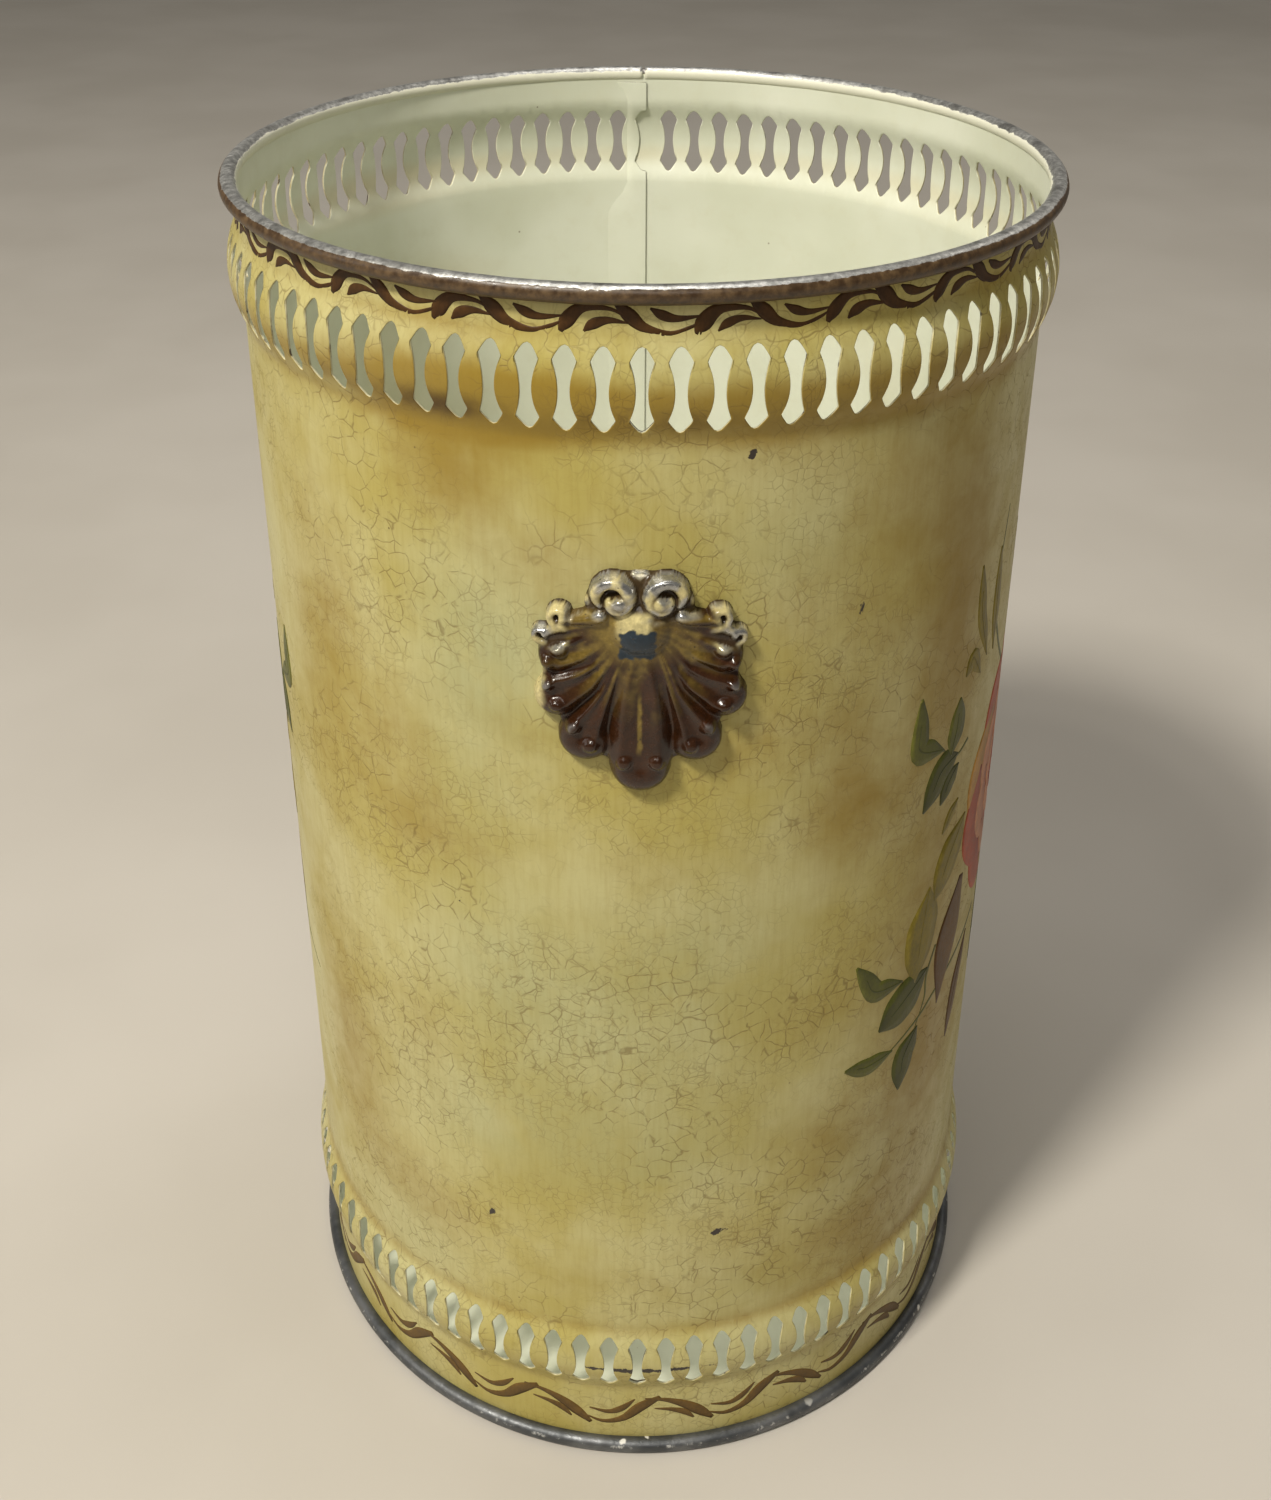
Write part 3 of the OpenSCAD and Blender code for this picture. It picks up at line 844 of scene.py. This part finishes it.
# The flutes fan out from here. Each groove between two lobes is given as angles from straight
# down at distances from there, from the lowest groove to the shell's upper edge
FAN_V = 17.0
GROOVES = [((8, 35), (20, 12.5)), ((8, 20, 31), (28, 26, 32.5)), ((8, 16, 24), (43, 43.5, 54)),
           ((8, 22), (76, 71))]
# Reach of the ground between lobes, at the lobes' middles and edges
NOTCH_AT, NOTCH_REACH = (0, 0.5, 1.5, 2.5, 3.5, 4.1, 4.6), (37, 37.5, 32.8, 26.6, 22.5, 19, 12)
SCROLL_MIDDLE = -0.3


def fan_place(u, v):
    """Distance from the fan's middle and place across the lobes: 0 is the middle of the lowest
    lobe, 1 to 3 the middles of those above it, and the grooves lie halfway between."""
    reach = np.hypot(u, v - FAN_V)
    angle = np.degrees(np.arctan2(np.abs(u), FAN_V - v))
    lines = [np.interp(reach, at, turn) for at, turn in GROOVES]
    place = 0.5 * angle / lines[0]
    for number, (low, high) in enumerate(zip(lines, lines[1:])):
        inside = angle >= low
        place = np.where(inside, number + 0.5 + (angle - low) / (high - low), place)
    beyond = angle >= lines[-1]
    return reach, np.where(beyond, 3.5 + (angle - lines[-1]) / 18, place)


def shell_heights(u, v):
    """Height of the ornament above the wall, below zero outside it."""
    reach, place = fan_place(u, v)
    out = np.full(u.shape, -1.2)
    plate = 2.7 - 1.4 * smoothstep(12, 34, reach)
    out = np.where((reach < np.interp(place, NOTCH_AT, NOTCH_REACH)) & (place < 4.6), plate, out)
    for number, (mid_u, mid_v, end_r, top) in enumerate(LOBES):
        far = math.hypot(mid_u, mid_v - FAN_V)
        way_u, way_v = mid_u / far, (mid_v - FAN_V) / far
        du, dv = np.abs(u) - mid_u, v - mid_v
        along, across = du * way_u + dv * way_v, du * way_v - dv * way_u
        if number == 0:
            across = np.abs(u)
        lane = 2 * (place - number)
        past = smoothstep(-4.5, 0.5, along)
        q = (1 - past) * np.abs(lane) + past * np.hypot(np.maximum(along, 0), across) / end_r
        dome = top * (0.70 + 0.30 * smoothstep(8, far, reach)) * np.sqrt(np.clip(1 - q ** 2.6, 0, 1))
        # Two ribs run down each lobe, with a hollow between them
        fade = smoothstep(9, 17, reach) * smoothstep(end_r * 0.35, -1.5, along)
        rib = np.exp(-((np.abs(lane) - 0.55) / 0.13) ** 2) * fade
        hollow = np.exp(-(lane / 0.30) ** 2) * fade
        dome = dome + 0.60 * rib - 0.85 * hollow
        out = np.where(q < 1, np.maximum(out, dome), out)
    # The smooth mound that the flutes run out of, and the ground behind the scrolls
    d2 = u ** 2 + (v - 14.0) ** 2
    mound = 5.1 - 9.5 + np.sqrt(np.maximum(9.5 ** 2 - d2, 0))
    out = np.maximum(out, np.where(d2 < 8.0 ** 2, mound, -1.2))
    ground = 2.6 * np.sqrt(np.clip(1 - ((u + 0.3) / 12.0) ** 2 - ((v - 19.5) / 8.1) ** 2, 0, 1))
    out = np.maximum(out, np.where(ground > 0.2, ground, -1.2))
    for boss_u, boss_v in BOSSES:
        d = np.hypot(np.abs(u) - boss_u, v - boss_v) / 1.6
        out = out + np.where(d < 1, 1.55 * np.sqrt(np.maximum(1 - d ** 2, 0)), 0)
    # Paired scrolls over the hinge: each comes over the top and curls under into its eye.
    # Then a smaller pair outside them, one at each edge, and the stems and knots that join them
    along = np.linspace(0, 1, 90)
    angles = np.radians(-42 + 400 * along)
    far = 3.75 - 2.0 * along ** 1.5
    drift = smoothstep(0.3, 1.0, along)
    curl = zip(5.4 + far * np.cos(angles) - 0.9 * drift, 22.4 + far * np.sin(angles) - 1.0 * drift)
    t24, t16 = np.linspace(0, 1, 24), np.linspace(0, 1, 16)
    tubes = [
        (SCROLL_MIDDLE, list(curl), np.interp(along, [0, 0.15, 0.5, 1], [0.8, 1.6, 1.7, 1.0]),
         np.interp(along, [0, 1], [2.6, 3.6])),
        (SCROLL_MIDDLE, [(4.3, 21.3)], [1.45], [4.6]),
        (SCROLL_MIDDLE, spiral((16.6, 16.7), -110, 330, 3.0, 0.5, 60), np.linspace(1.3, 1.05, 60),
         np.linspace(2.0, 3.2, 60)),
        (SCROLL_MIDDLE, spiral((20.9, 11.6), -120, 300, 2.3, 0.6, 50), np.linspace(1.1, 0.8, 50),
         np.linspace(1.6, 2.6, 50)),
        (0, [(8.5 + 6.0 * t, 17.6 - 1.8 * t ** 0.6) for t in t24], 1.5 - 0.5 * t24, 2.9 - 0.5 * t24),
        (0, [(16.6 + 3.6 * t, 14.6 - 2.4 * t) for t in t16], 1.6 - 0.3 * t16, 2.0 - 0.4 * t16),
    ]
    for side in (-1, 1):
        for middle, path, radii, depths in tubes:
            polyline_tube(out, u, v, [(middle + side * x, y) for x, y in path], radii, depths)
    # Nothing stands higher than the middle of the ornament
    out = np.where(out > 5.0, 5.0 + (out - 5.0) * 0.4, out)
    return out


def softened(field, steps):
    """Evens out a height field a little, as casting does."""
    for _ in range(steps):
        field = (2 * field + np.roll(field, 1, 0) + np.roll(field, -1, 0)) / 4
        field = (2 * field + np.roll(field, 1, 1) + np.roll(field, -1, 1)) / 4
    return field


SHELL_BROWN = np.array([0.032, 0.0108, 0.0032])
SHELL_GOLD = np.array([0.21, 0.145, 0.028])
SHELL_CREAM = np.array([0.58, 0.50, 0.24])
SHELL_PEWTER = np.array([0.40, 0.40, 0.39])
SHELL_SLATE = np.array([0.010, 0.024, 0.040])
SHELL_HOLLOW = np.array([0.040, 0.024, 0.012])


def over(color, share, layer):
    return color * (1 - share[:, None]) + layer * share[:, None]


def shell_colors(u, v, h, lift):
    """Colours of the ornament's paint. lift is how far a place stands above its surroundings."""
    places = np.stack([u, v, h], axis=1)
    fine, mid = noise_at(places, 1.3, 2.0), noise_at(places, 4.0, 5.0)
    reach, place = fan_place(u, v)
    color = np.tile(SHELL_BROWN, (len(u), 1)) * (1 + 0.35 * mid)[:, None]
    ray = noise_at(np.stack([place * 4.2 * np.sign(u + 0.01), reach / 12, u * 0], axis=1), 1.0, 9.0)
    left = smoothstep(6, -6, u)
    gold = smoothstep(27, 11, reach + 5 * mid) * smoothstep(-0.20, 0.45, ray + 0.25 * fine) * 0.72
    gold = np.maximum(gold, smoothstep(14, 8, reach) * (0.45 + 0.5 * left))
    streak = smoothstep(0.7, 0.2, np.abs(u + 0.2 + 0.3 * fine)) * smoothstep(-18, -15, v) * 0.8
    gold = np.maximum(gold, streak * smoothstep(0, -5, v))
    color = over(color, np.clip(gold, 0, 1), SHELL_GOLD)
    # The scrolls are worn to cream and pewter, with dark hollows
    scrolls = smoothstep(15.5, 18.0, v + 1.2 * mid - 0.12 * np.abs(u))
    scrolls = np.maximum(scrolls, smoothstep(14.0, 16.5, np.abs(u) + mid) * smoothstep(8.0, 10.5, v))
    raised = smoothstep(-0.10, 0.22, lift + 0.08 * fine)
    color = over(color, scrolls * (1 - raised) * 0.9, SHELL_HOLLOW)
    worn = scrolls * raised
    cream = smoothstep(4.4, 2.4, np.abs(u + 1.2 + mid)) * smoothstep(12, 14.5, v + fine)
    cream = np.maximum(cream * smoothstep(19.5, 18, v), worn)
    edge = smoothstep(-20.0, -21.8, u + 0.8 * fine) * smoothstep(6, 2, v) * smoothstep(-12, -8, v)
    cream = np.maximum(cream, edge * 0.95)
    color = over(color, np.clip(cream, 0, 1), SHELL_CREAM)
    pewter = worn * smoothstep(-0.25, 0.3, mid + 0.3 * fine + 0.35 * smoothstep(21, 25, v))
    pewter = np.maximum(pewter, smoothstep(0.5, 0.9, lift) * 0.45 * (reach > 24))
    color = over(color, np.clip(pewter, 0, 1), SHELL_PEWTER)
    # A flake of paint is gone from the hinge, down to a blue-grey ground
    bare = smoothstep(0.4, -0.1, np.abs(u + 0.6) - 3.6 + 0.9 * fine)
    bare *= smoothstep(0.4, -0.1, np.abs(v - 11.0) - 3.6 + 1.6 * fine)
    color = over(color, bare, SHELL_SLATE)
    return np.concatenate([color, np.clip(pewter * (1 - bare), 0, 1)[:, None]], axis=1)


def shell_object(name, middle_s, material):
    step = 0.3
    us = np.arange(-26, 26 + step, step)
    vs = np.arange(-31, 30 + step, step)
    u, v = np.meshgrid(us, vs, indexing="xy")
    h = softened(shell_heights(u, v), 2)
    lift = h - softened(h, 14)
    buried = -0.4
    highest = np.max([h[:-1, :-1], h[1:, :-1], h[:-1, 1:], h[1:, 1:]], axis=0)
    rows, columns = np.nonzero(highest > buried)
    h = np.maximum(h, buried)
    wide = len(us)
    a = rows * wide + columns
    top = np.stack([a, a + 1, a + wide + 1, a + wide], axis=1)
    used, packed = np.unique(top, return_inverse=True)
    top = packed.reshape(-1, 4)
    fu, fv, fh, fl = (x.ravel()[used] for x in (u, v, h, lift))
    count = len(used)
    outside = on_wall(middle_s + fu, SHELL_Z + fv, out=fh)
    inside = on_wall(middle_s + fu, SHELL_Z + fv, out=np.full(count, buried - 0.1))
    faces = [tuple(q) for q in top] + [tuple(q[::-1] + count) for q in top]
    faces += [(a, a + count, b + count, b) for a, b in open_edges(top)]
    piece = make_object(name, np.concatenate([outside, inside]), faces, [material])
    colors = shell_colors(fu, fv, fh, fl)
    add_colors(piece, "paint", np.concatenate([colors, colors]))
    return piece


SHELL = shell_paint()
finish_piece(shell_object("shell_front", 0.0, SHELL), "shell_paint", "shell_ornament_front")
finish_piece(shell_object("shell_back", TURN / 2, SHELL), "shell_paint", "shell_ornament_back")


# ---------------------------------------------------------------- brush strokes
def curve_through(points, count):
    """Even steps along a smooth curve through the points; extra columns are carried along."""
    points = np.array(points, float)
    ends = [2 * points[0] - points[1], 2 * points[-1] - points[-2]]
    p = np.concatenate([[ends[0]], points, [ends[1]]])
    out = []
    for i in range(1, len(p) - 2):
        for t in np.linspace(0, 1, 12, endpoint=i == len(p) - 3):
            out.append(0.5 * (2 * p[i] + (p[i + 1] - p[i - 1]) * t
                              + (2 * p[i - 1] - 5 * p[i] + 4 * p[i + 1] - p[i + 2]) * t ** 2
                              + (3 * p[i] - p[i - 1] - 3 * p[i + 1] + p[i + 2]) * t ** 3))
    out = np.array(out)
    run = np.concatenate([[0], np.cumsum(np.hypot(*np.diff(out[:, :2], axis=0).T))])
    at = np.linspace(0, run[-1], count)
    return np.stack([np.interp(at, run, out[:, k]) for k in range(out.shape[1])], axis=1)


# Share of a stroke's nominal thickness that stands above the wall
STROKE_RELIEF = 0.45


class Strokes:
    """Thin raised strokes of paint on the wall, gathered into one mesh."""

    def __init__(self, across=7):
        self.across = across
        self.points, self.faces, self.colors = [], [], []

    def add(self, path, thick, dark, light, level=0.0, steps=22, side=0.0):
        """path rows are (s, z, width). Colour runs from dark to light across the stroke, and
        side moves the light part to one edge."""
        line = curve_through(path, steps)
        place, width = line[:, :2], np.maximum(line[:, 2:], 0.06)
        way = np.gradient(place, axis=0)
        way /= np.maximum(np.hypot(way[:, 0], way[:, 1]), 1e-9)[:, None]
        lanes = np.linspace(-1, 1, self.across)
        s = place[:, :1] - way[:, 1:] * lanes * width / 2
        z = place[:, 1:] + way[:, :1] * lanes * width / 2
        dome = np.sqrt(np.maximum(1 - lanes ** 2, 0)) * np.minimum(1, width / 0.8)
        top = on_wall(s, z, out=level + 0.02 + STROKE_RELIEF * thick * dome)
        under = on_wall(s[:, ::-1], z[:, ::-1], out=-0.06)
        base, ring = sum(map(len, self.points)), self.across * 2
        self.points.append(np.concatenate([top, under], axis=1).reshape(-1, 3))
        for a in range(base, base + (steps - 1) * ring, ring):
            for k in range(ring):
                m = (k + 1) % ring
                self.faces.append((a + k, a + ring + k, a + ring + m, a + m))
        self.faces.append(tuple(base + k for k in range(ring)))
        self.faces.append(tuple(base + (steps - 1) * ring + k for k in reversed(range(ring))))
        t = np.linspace(0, 1, steps)[:, None]
        lane = np.concatenate([lanes, lanes[::-1]])
        facing = lane - side if side >= 0 else -lane - side
        share = 0.65 * np.clip(0.5 + 0.5 * facing, 0, 1) + 0.35 * np.sin(np.pi * t)
        paint = np.array(dark) + np.subtract(light, dark) * share[..., None]
        thin = np.broadcast_to(0.15 + 0.5 * np.abs(2 * t - 1) ** 3, share.shape)[..., None]
        self.colors.append(np.concatenate([paint, thin], axis=-1).reshape(-1, 4))

    def build(self, name, material, slot):
        piece = make_object(name, np.concatenate(self.points), self.faces, [material])
        add_colors(piece, "paint", np.concatenate(self.colors))
        return finish_piece(piece, slot)


# One repeat of the scroll under the rim: rows are (along, up, width)
RIM_SCROLL = [
    [(0, 0, 1.03), (1.2, 2.1, 3.42), (3.2, 4.4, 2.96), (5.6, 5.3, 1.82), (10.1, 5.0, 0.91),
     (13, 3.5, 0.57)],
    [(11.1, 6.6, 1.25), (13.8, 4.0, 3.19), (16.7, 1.5, 2.17), (21.7, 0.3, 1.03), (26, 1.5, 0.8),
     (28, 2.6, 0.34)],
    [(4.5, 0.3, 0.46), (6.4, 1.9, 2.28), (9.4, 2.8, 1.48), (13.3, 2.3, 0.34)],
    [(17.7, 5.2, 0.46), (20.1, 3.8, 2.17), (23.1, 3.0, 1.48), (28, 3.5, 0.34)],
]
# One repeat of the scroll above the foot
FOOT_SCROLL = [
    [(-14.6, 1.6, 0.5), (-9.6, -0.2, 1.4), (-4, 1.6, 2.4), (1.0, 6.6, 3.5), (6.4, 10.4, 1.4)],
    [(-13.6, 5.0, 0.5), (-8.2, 4.0, 1.7), (-4.4, 5.8, 2.2), (-0.8, 9.6, 0.5)],
    [(2.2, 9.6, 0.6), (8.2, 8.8, 1.6), (13.6, 6.3, 2.9), (17.6, 3.0, 3.4), (21.6, -1.0, 1.2)],
    [(4.6, 5.4, 0.5), (9.2, 4.7, 1.6), (13.0, 3.2, 2.4), (15.8, 0.3, 0.7)],
]
DARK_BROWN, WARM_BROWN = (0.034, 0.014, 0.004), (0.080, 0.036, 0.009)


def scroll_band(name, repeats, length, pattern, low_z, dark, light, material, first_s):
    """A painted scroll that repeats round the basket; length is that of one drawn repeat."""
    strokes = Strokes(5)
    repeat = TURN / repeats
    for i in range(repeats):
        for path in pattern:
            lean, lift = rng.uniform(-0.4, 0.4), rng.uniform(-0.25, 0.2)
            grow = rng.uniform(0.88, 1.12)
            drawn = [(first_s + i * repeat + along * repeat / length + lean, low_z + up + lift,
                      width * grow) for along, up, width in path]
            strokes.add(drawn, 0.09, dark, light, side=0.2)
    return strokes.build(name, material, "scroll_paint")


SCROLL_PAINT = brushed_paint("brown_scroll_paint", 0.4)
scroll_band("rim_scroll", 23, 27.3, RIM_SCROLL, 336.2, DARK_BROWN, WARM_BROWN, SCROLL_PAINT, 10.9)
scroll_band("foot_scroll", 18, 34.9, FOOT_SCROLL, 10.2, (0.085, 0.048, 0.012), (0.15, 0.085, 0.022),
            SCROLL_PAINT, 0.0)

# A spray of leaves beside a rose. Each leaf: (angle, height) at root, middle and tip, width, colour
OLIVE = ((0.15, 0.115, 0.012), (0.24, 0.185, 0.028))
DEEP_GREEN = ((0.036, 0.042, 0.007), (0.095, 0.095, 0.016))
GREEN = ((0.060, 0.066, 0.010), (0.13, 0.13, 0.022))
BRONZE = ((0.060, 0.022, 0.004), (0.15, 0.075, 0.014))
LEAVES = [
    ((48.5, 215.2), (42.6, 219.8), (42.0, 235.0), 7.0, GREEN),
    ((50.6, 211.5), (51.7, 218.6), (52.0, 227.5), 8.0, GREEN),
    ((52.8, 210.5), (48.6, 209.0), (44.6, 199.5), 10.0, DEEP_GREEN),
    ((53.4, 207.0), (51.0, 203.7), (49.0, 198.0), 6.6, DEEP_GREEN),
    ((54.6, 195.0), (52.5, 191.9), (50.5, 187.5), 4.0, OLIVE),
    ((58.0, 187.0), (53.6, 177.6), (50.2, 166.5), 13.0, OLIVE),
    ((48.4, 173.0), (47.4, 159.0), (46.7, 143.0), 14.0, OLIVE),
    ((43.4, 147.2), (37.4, 149.6), (33.2, 161.0), 6.4, GREEN),
    ((50.0, 144.6), (44.1, 139.4), (38.8, 134.6), 14.0, DEEP_GREEN),
    ((42.4, 124.3), (37.2, 124.4), (32.4, 127.0), 6.0, GREEN),
    ((48.6, 126.0), (45.6, 118.9), (44.9, 107.5), 9.6, DEEP_GREEN),
    ((63.0, 232.0), (62.4, 246.0), (62.0, 262.0), 5.4, OLIVE),
    ((60.0, 233.0), (56.5, 247.0), (55.0, 262.0), 5.0, OLIVE),
    ((58.0, 229.5), (55.0, 236.5), (53.0, 232.5), 5.2, OLIVE),
    ((78, 216), (78.5, 236), (77, 258), 8.5, OLIVE),
    ((92, 212), (99, 225), (107, 238), 9.0, OLIVE),
    ((96, 204), (107, 209), (118, 211), 9.5, GREEN),
    ((98, 190), (110, 187), (121, 180), 9.5, DEEP_GREEN),
    ((96, 166), (105, 157), (113, 145), 10.0, OLIVE),
    ((88, 152), (94, 138), (100, 122), 8.5, GREEN),
    ((78, 150), (77, 134), (74, 116), 8.5, GREEN),
    ((66, 138), (62.5, 124), (60, 107), 7.4, BRONZE),
]
STEMS = [
    ((75, 215), (66, 232), (62, 250), (64, 272), 1.3),
    ((70, 142), (54, 133), (49, 129), (41, 124), 1.3),
    ((52, 150), (50, 142), (50, 134), (48, 126), 1.0),
    ((56, 212), (53, 210), (51, 212), (48, 215.5), 0.9),
    ((86, 150), (87, 136), (87, 118), (90, 96), 1.4),
    ((94, 206), (104, 214), (114, 226), (121, 240), 1.2),
]
ROSE_DARK, ROSE_MID, ROSE_LIGHT = (0.18, 0.022, 0.014), (0.38, 0.085, 0.045), (0.52, 0.24, 0.13)
PEACH = (0.45, 0.24, 0.06)
BUDS = [
    ((59.5, 165), (56.2, 147.5), (54.5, 126.5), 14.0, BRONZE),
    ((90, 104), (90, 92), (92, 80), 9.0, (ROSE_DARK, ROSE_MID)),
]
ROSE_AT = (79.0, 184.0)
# Rings of petals from the outside in: count, reach, width, turn of the first in degrees, colours
ROSE_RINGS = [
    (9, 30, 22, 0, ROSE_DARK, ROSE_MID), (8, 22, 18, 20, ROSE_DARK, ROSE_LIGHT),
    (7, 14, 13, 5, ROSE_MID, ROSE_LIGHT), (5, 7.5, 9, 30, ROSE_DARK, ROSE_MID),
]
# A petal's width along its arc: turn from its middle in radians, share of its full width
PETAL_ARC = ((-0.62, 0.15), (-0.3, 0.75), (0, 1.0), (0.3, 0.75), (0.62, 0.15))
ROSE_STRETCH = 1.12


def add_rose(petals, middle_s, middle_z):
    for ring, (count, reach, width, start, dark, light) in enumerate(ROSE_RINGS):
        for i in range(count):
            turn = math.radians(start + 360 * i / count + rng.uniform(-7, 7))
            arc = []
            for step, share in PETAL_ARC:
                a = turn + step
                r = reach * (1 - 0.10 * abs(step))
                arc.append((middle_s + r * math.cos(a), middle_z + ROSE_STRETCH * r * math.sin(a),
                            width * share * 0.62))
            # Every third outer petal has faded to peach
            faded = ring == 0 and i % 3 == 1
            petals.add(arc, 0.12, *((BRONZE[1], PEACH) if faded else (dark, light)),
                       level=0.06 + 0.05 * ring + 0.012 * (i % 3), side=-0.2)
    core = [(middle_s + ds, middle_z + dz, w) for ds, dz, w in ((-4, 0, 2.0), (0, 1, 7.5), (4, 0, 2.0))]
    petals.add(core, 0.14, ROSE_DARK, ROSE_MID, level=0.28)
    under = [(middle_s, middle_z + dz, w) for dz, w in ((-30, 10), (0, 50), (30, 10))]
    petals.add(under, 0.02, ROSE_DARK, ROSE_MID, level=0.06, steps=60)


def spray(name, sign, angle_shift, leaves_used):
    """Leaves, stems and a rose on one side of the basket; sign -1 puts them on the left."""
    def at(angle, z):
        return sign * math.radians(angle + angle_shift) * BODY_R, z

    stems = Strokes(5)
    for *path, width in STEMS:
        stems.add([(*at(*p), width * w) for p, w in zip(path, (1.2, 1.0, 0.8, 0.4))], 0.06,
                  *GREEN, steps=30)
    for root, middle, tip, width, color in leaves_used:
        rows = [(*at(*root), 0.5)]
        quarter_way = [middle[k] * 0.6 + root[k] * 0.4 for k in range(2)]
        three_quarters = [middle[k] * 0.5 + tip[k] * 0.5 for k in range(2)]
        rows += [(*at(*quarter_way), width * 0.88), (*at(*middle), width),
                 (*at(*three_quarters), width * 0.80), (*at(*tip), 0.8)]
        stems.add(rows, 0.12, *color, level=0.03, side=0.25 * sign)
        vein = [(*at(*p), w) for p, w in ((root, 0.5), (middle, 0.45), (three_quarters, 0.2))]
        stems.add(vein, 0.05, color[0], color[0], level=0.13)
    stems.build(f"{name}_leaves", LEAF_PAINT, "leaf_paint")

    petals = Strokes(9)
    add_rose(petals, *at(*ROSE_AT))
    for root, middle, tip, width, color in BUDS:
        rows = [(*at(*root), 3.0), (*at(*middle), width), (*at(*tip), 0.4)]
        petals.add(rows, 0.14, *color, level=0.04, side=0.2)
    petals.build(f"{name}_rose", ROSE_PAINT, "rose_paint")


LEAF_PAINT = brushed_paint("green_leaf_paint", 0.38)
ROSE_PAINT = brushed_paint("pink_rose_paint", 0.38)
spray("right_spray", 1, 0, LEAVES)
spray("left_spray", -1, 24, LEAVES[:6] + LEAVES[11:])


# ---------------------------------------------------------------- floor, light, camera
def floor_material():
    p = Paint("pale_floor")
    soft = p.noise(180, 3, 0.5)
    p.set("Base Color", p.mix(p.ramp(soft, 0.3, 0.7), (0.50, 0.465, 0.41), (0.545, 0.51, 0.455)))
    p.set("Roughness", 0.55)
    p.bump(p.noise(1.6, 2, 0.5), 0.02)
    return p.material


bpy.ops.mesh.primitive_plane_add(size=14, location=(0, 0, 0))
floor = bpy.context.object
floor.name = "floor"
floor.data.materials.append(floor_material())


def area_light(name, place, target, size, power, color):
    data = bpy.data.lights.new(name, "AREA")
    data.shape = "DISK"
    data.size = size
    data.energy = power
    data.color = color
    lamp = bpy.data.objects.new(name, data)
    bpy.context.scene.collection.objects.link(lamp)
    lamp.location = place
    aim = Vector(target) - Vector(place)
    lamp.rotation_euler = aim.to_track_quat("-Z", "Y").to_euler()


area_light("key", (-0.86, -1.00, 1.96), (0, 0, 0.17), 0.34, 48, (1.0, 0.95, 0.85))
area_light("front", (0.1, -1.7, 1.75), (0, 0, 0.3), 0.8, 6.5, (1.0, 0.96, 0.90))
area_light("overhead", (0.0, 0.1, 2.1), (0, 0, 0.2), 0.9, 10, (1.0, 0.97, 0.92))
area_light("fill_left", (-1.7, -0.3, 0.8), (0, 0, 0.2), 0.8, 3, (1.0, 0.95, 0.88))
area_light("back_right", (1.3, 1.0, 1.5), (0, 0, 0.25), 0.9, 2.5, (1.0, 0.95, 0.88))

world = bpy.data.worlds.new("studio")
world.use_nodes = True
world.node_tree.nodes["Background"].inputs["Color"].default_value = (1.0, 0.95, 0.87, 1)
world.node_tree.nodes["Background"].inputs["Strength"].default_value = 0.13
bpy.context.scene.world = world

camera_data = bpy.data.cameras.new("camera")
camera = bpy.data.objects.new("camera", camera_data)
bpy.context.scene.collection.objects.link(camera)
PITCH_DOWN, TURN_LEFT, ROLL = 0.4603, 0.00395, 0.0031
camera.location = (0, -0.4159, 0.4538)
camera.rotation_mode = "XYZ"
camera.matrix_world = (Matrix.Translation(camera.location) @ Matrix.Rotation(TURN_LEFT, 4, "Z")
                       @ Matrix.Rotation(math.pi / 2 - PITCH_DOWN, 4, "X")
                       @ Matrix.Rotation(ROLL, 4, "Z"))
camera_data.sensor_width = 36
camera_data.lens = 40.8
camera_data.shift_y = -0.159
camera_data.clip_end = 50
bpy.context.scene.camera = camera
bpy.context.scene.view_settings.view_transform = "Standard"
